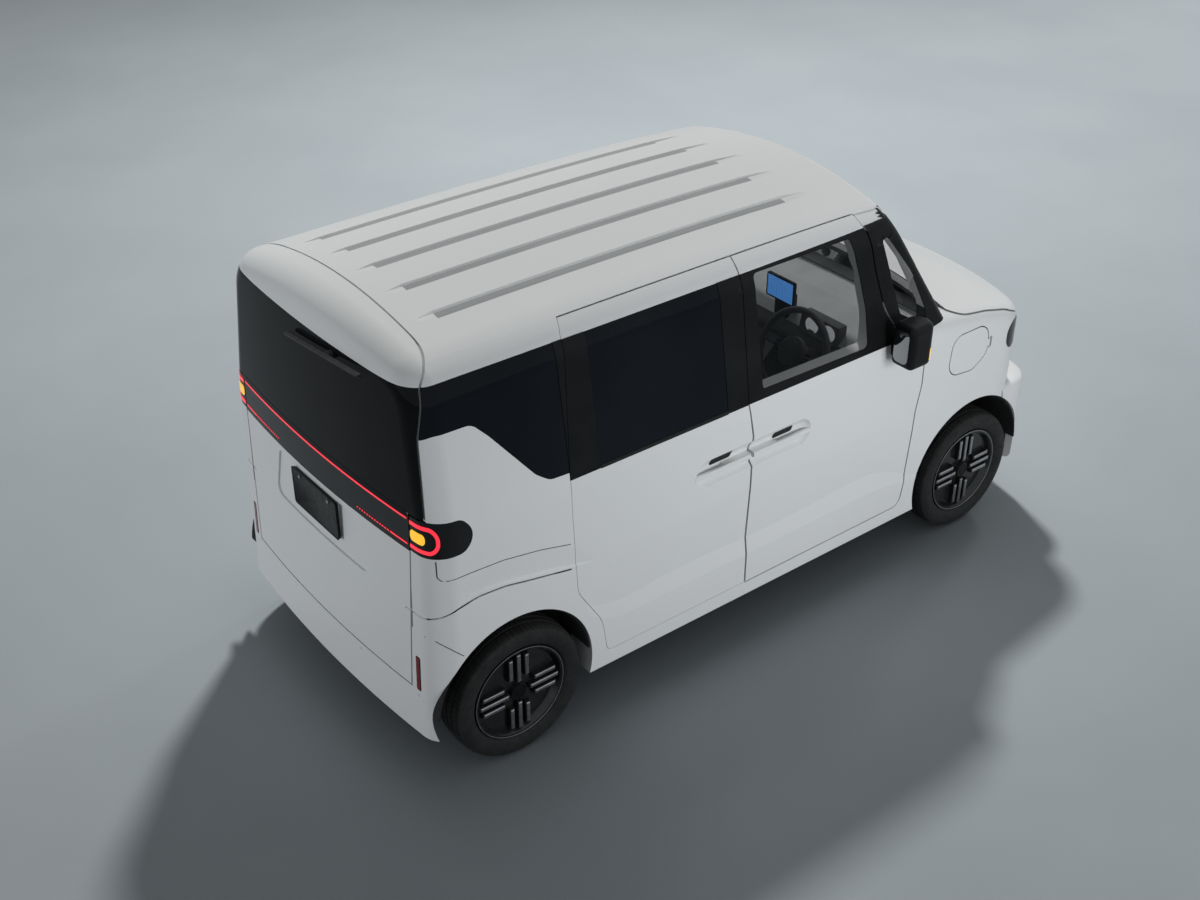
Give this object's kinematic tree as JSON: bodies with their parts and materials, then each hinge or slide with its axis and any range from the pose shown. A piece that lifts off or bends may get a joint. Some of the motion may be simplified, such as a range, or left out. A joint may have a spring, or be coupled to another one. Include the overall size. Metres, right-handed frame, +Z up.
{
  "type": "kei car",
  "caption": "Tall small wagon with sliding rear doors, upright tail, hinged front doors, tailgate and bonnet, steered front wheels and a fitted cabin.",
  "frame": {"origin": "on the ground, under the middle of the car's length and width", "axes": "+X forward along the car, +Y to the car's left, +Z up"},
  "size_m": [3.3934, 1.744, 1.8005],
  "materials": {
    "white_paint": "pearl gloss",
    "clear_glass": "clear",
    "privacy_glass": "dark tint",
    "black_gloss": "gloss",
    "black_plastic": "grained",
    "white_plastic": "pearl gloss",
    "lamp_black": "gloss lens",
    "lamp_clear": "clear lens over a dark housing",
    "tyre": "matte",
    "wheel_cover": "dark grey satin",
    "chassis_steel": "black coat",
    "body_steel": "primed",
    "pack_cover": "cast",
    "dash_plastic": "grained",
    "seat_cloth": "woven",
    "floor_carpet": "needled carpet"
  },
  "bodies": {
    "body": {"body_side_right": "white_paint", "body_side_left": "white_paint", "sliding_door_right": "white_paint", "sliding_door_left": "white_paint", "roof_panel": "white_paint", "front_glass": "clear_glass", "privacy_glass": "privacy_glass", "pillar_trims": "black_gloss", "tail_lamps": "lamp_black", "rear_bumper": "white_plastic", "front_fenders": "white_paint", "headlamps": "lamp_clear", "front_bumper": "white_plastic", "front_structure": "body_steel", "front_suspension": "chassis_steel", "rear_axle": "chassis_steel", "battery_pack": "pack_cover", "drive_unit": "pack_cover", "floor_pan": "floor_carpet", "dashboard": "dash_plastic", "seats": "seat_cloth", "wheel_arch_liners": "black_plastic"},
    "front_door_right": {"door_front_right": "white_paint", "door_glass_right": "clear_glass", "door_trim_right": "black_gloss"},
    "front_door_left": {"door_front_left": "white_paint", "door_glass_left": "clear_glass", "door_trim_left": "black_gloss"},
    "tail_door": {"tailgate": "white_paint", "tailgate_glass": "black_gloss", "tailgate_lamp_bar": "lamp_black", "rear_wiper": "black_plastic"},
    "bonnet_lid": {"bonnet": "white_paint"},
    "charge_flap": {"charge_lid": "white_plastic"},
    "steer_knuckle_right": {"knuckle_right": "chassis_steel"},
    "steer_knuckle_left": {"knuckle_left": "chassis_steel"},
    "wheel_front_right": {"tyre_front_right": "tyre", "rim_front_right": "wheel_cover"},
    "wheel_front_left": {"tyre_front_left": "tyre", "rim_front_left": "wheel_cover"},
    "wheel_rear_right": {"tyre_rear_right": "tyre", "rim_rear_right": "wheel_cover"},
    "wheel_rear_left": {"tyre_rear_left": "tyre", "rim_rear_left": "wheel_cover"},
    "hand_wheel": {"steering_wheel": "dash_plastic"}
  },
  "joints": [
    {"name": "front_door_right_hinge", "type": "hinge", "parent": "body", "child": "front_door_right", "pos_m": [0.715, -0.725, 0.7], "axis": [0, 0, 1], "range_deg": [0, 70]},
    {"name": "front_door_left_hinge", "type": "hinge", "parent": "body", "child": "front_door_left", "pos_m": [0.715, 0.725, 0.7], "axis": [0, 0, -1], "range_deg": [0, 70]},
    {"name": "tailgate_hinge", "type": "hinge", "parent": "body", "child": "tail_door", "pos_m": [-1.52, 0, 1.782], "axis": [0, 1, 0], "range_deg": [0, 80]},
    {"name": "bonnet_hinge", "type": "hinge", "parent": "body", "child": "bonnet_lid", "pos_m": [0.985, 0, 1.135], "axis": [0, -1, 0], "range_deg": [0, 35]},
    {"name": "charge_lid_hinge", "type": "hinge", "parent": "body", "child": "charge_flap", "pos_m": [1.2285, -0.7275, 0.95], "axis": [0, 0, 1], "range_deg": [0, 90]},
    {"name": "steer_left", "type": "hinge", "parent": "body", "child": "steer_knuckle_left", "pos_m": [1.2, 0.5993, 0.287], "axis": [0, -0.2443, 0.9697], "range_deg": [-33, 33]},
    {"name": "steer_right", "type": "hinge", "parent": "body", "child": "steer_knuckle_right", "pos_m": [1.2, -0.5993, 0.287], "axis": [0, 0.2443, 0.9697], "range_deg": [-33, 33]},
    {"name": "steering_wheel_turn", "type": "hinge", "parent": "body", "child": "hand_wheel", "pos_m": [0.44, -0.32, 0.985], "axis": [-0.9135, 0, 0.4067], "range_deg": [-500, 500]},
    {"name": "wheel_front_right_spin", "type": "hinge", "parent": "steer_knuckle_right", "child": "wheel_front_right", "pos_m": [1.2, -0.6465, 0.287], "axis": [0, 1, 0], "continuous": true},
    {"name": "wheel_front_left_spin", "type": "hinge", "parent": "steer_knuckle_left", "child": "wheel_front_left", "pos_m": [1.2, 0.6465, 0.287], "axis": [0, 1, 0], "continuous": true},
    {"name": "wheel_rear_right_spin", "type": "hinge", "parent": "body", "child": "wheel_rear_right", "pos_m": [-1.28, -0.6465, 0.287], "axis": [0, 1, 0], "continuous": true},
    {"name": "wheel_rear_left_spin", "type": "hinge", "parent": "body", "child": "wheel_rear_left", "pos_m": [-1.28, 0.6465, 0.287], "axis": [0, 1, 0], "continuous": true}
  ],
  "couplings": [
    {"joint": "steer_right", "follows": "steer_left", "ratio": 1},
    {"joint": "steering_wheel_turn", "follows": "steer_left", "ratio": 15}
  ]
}
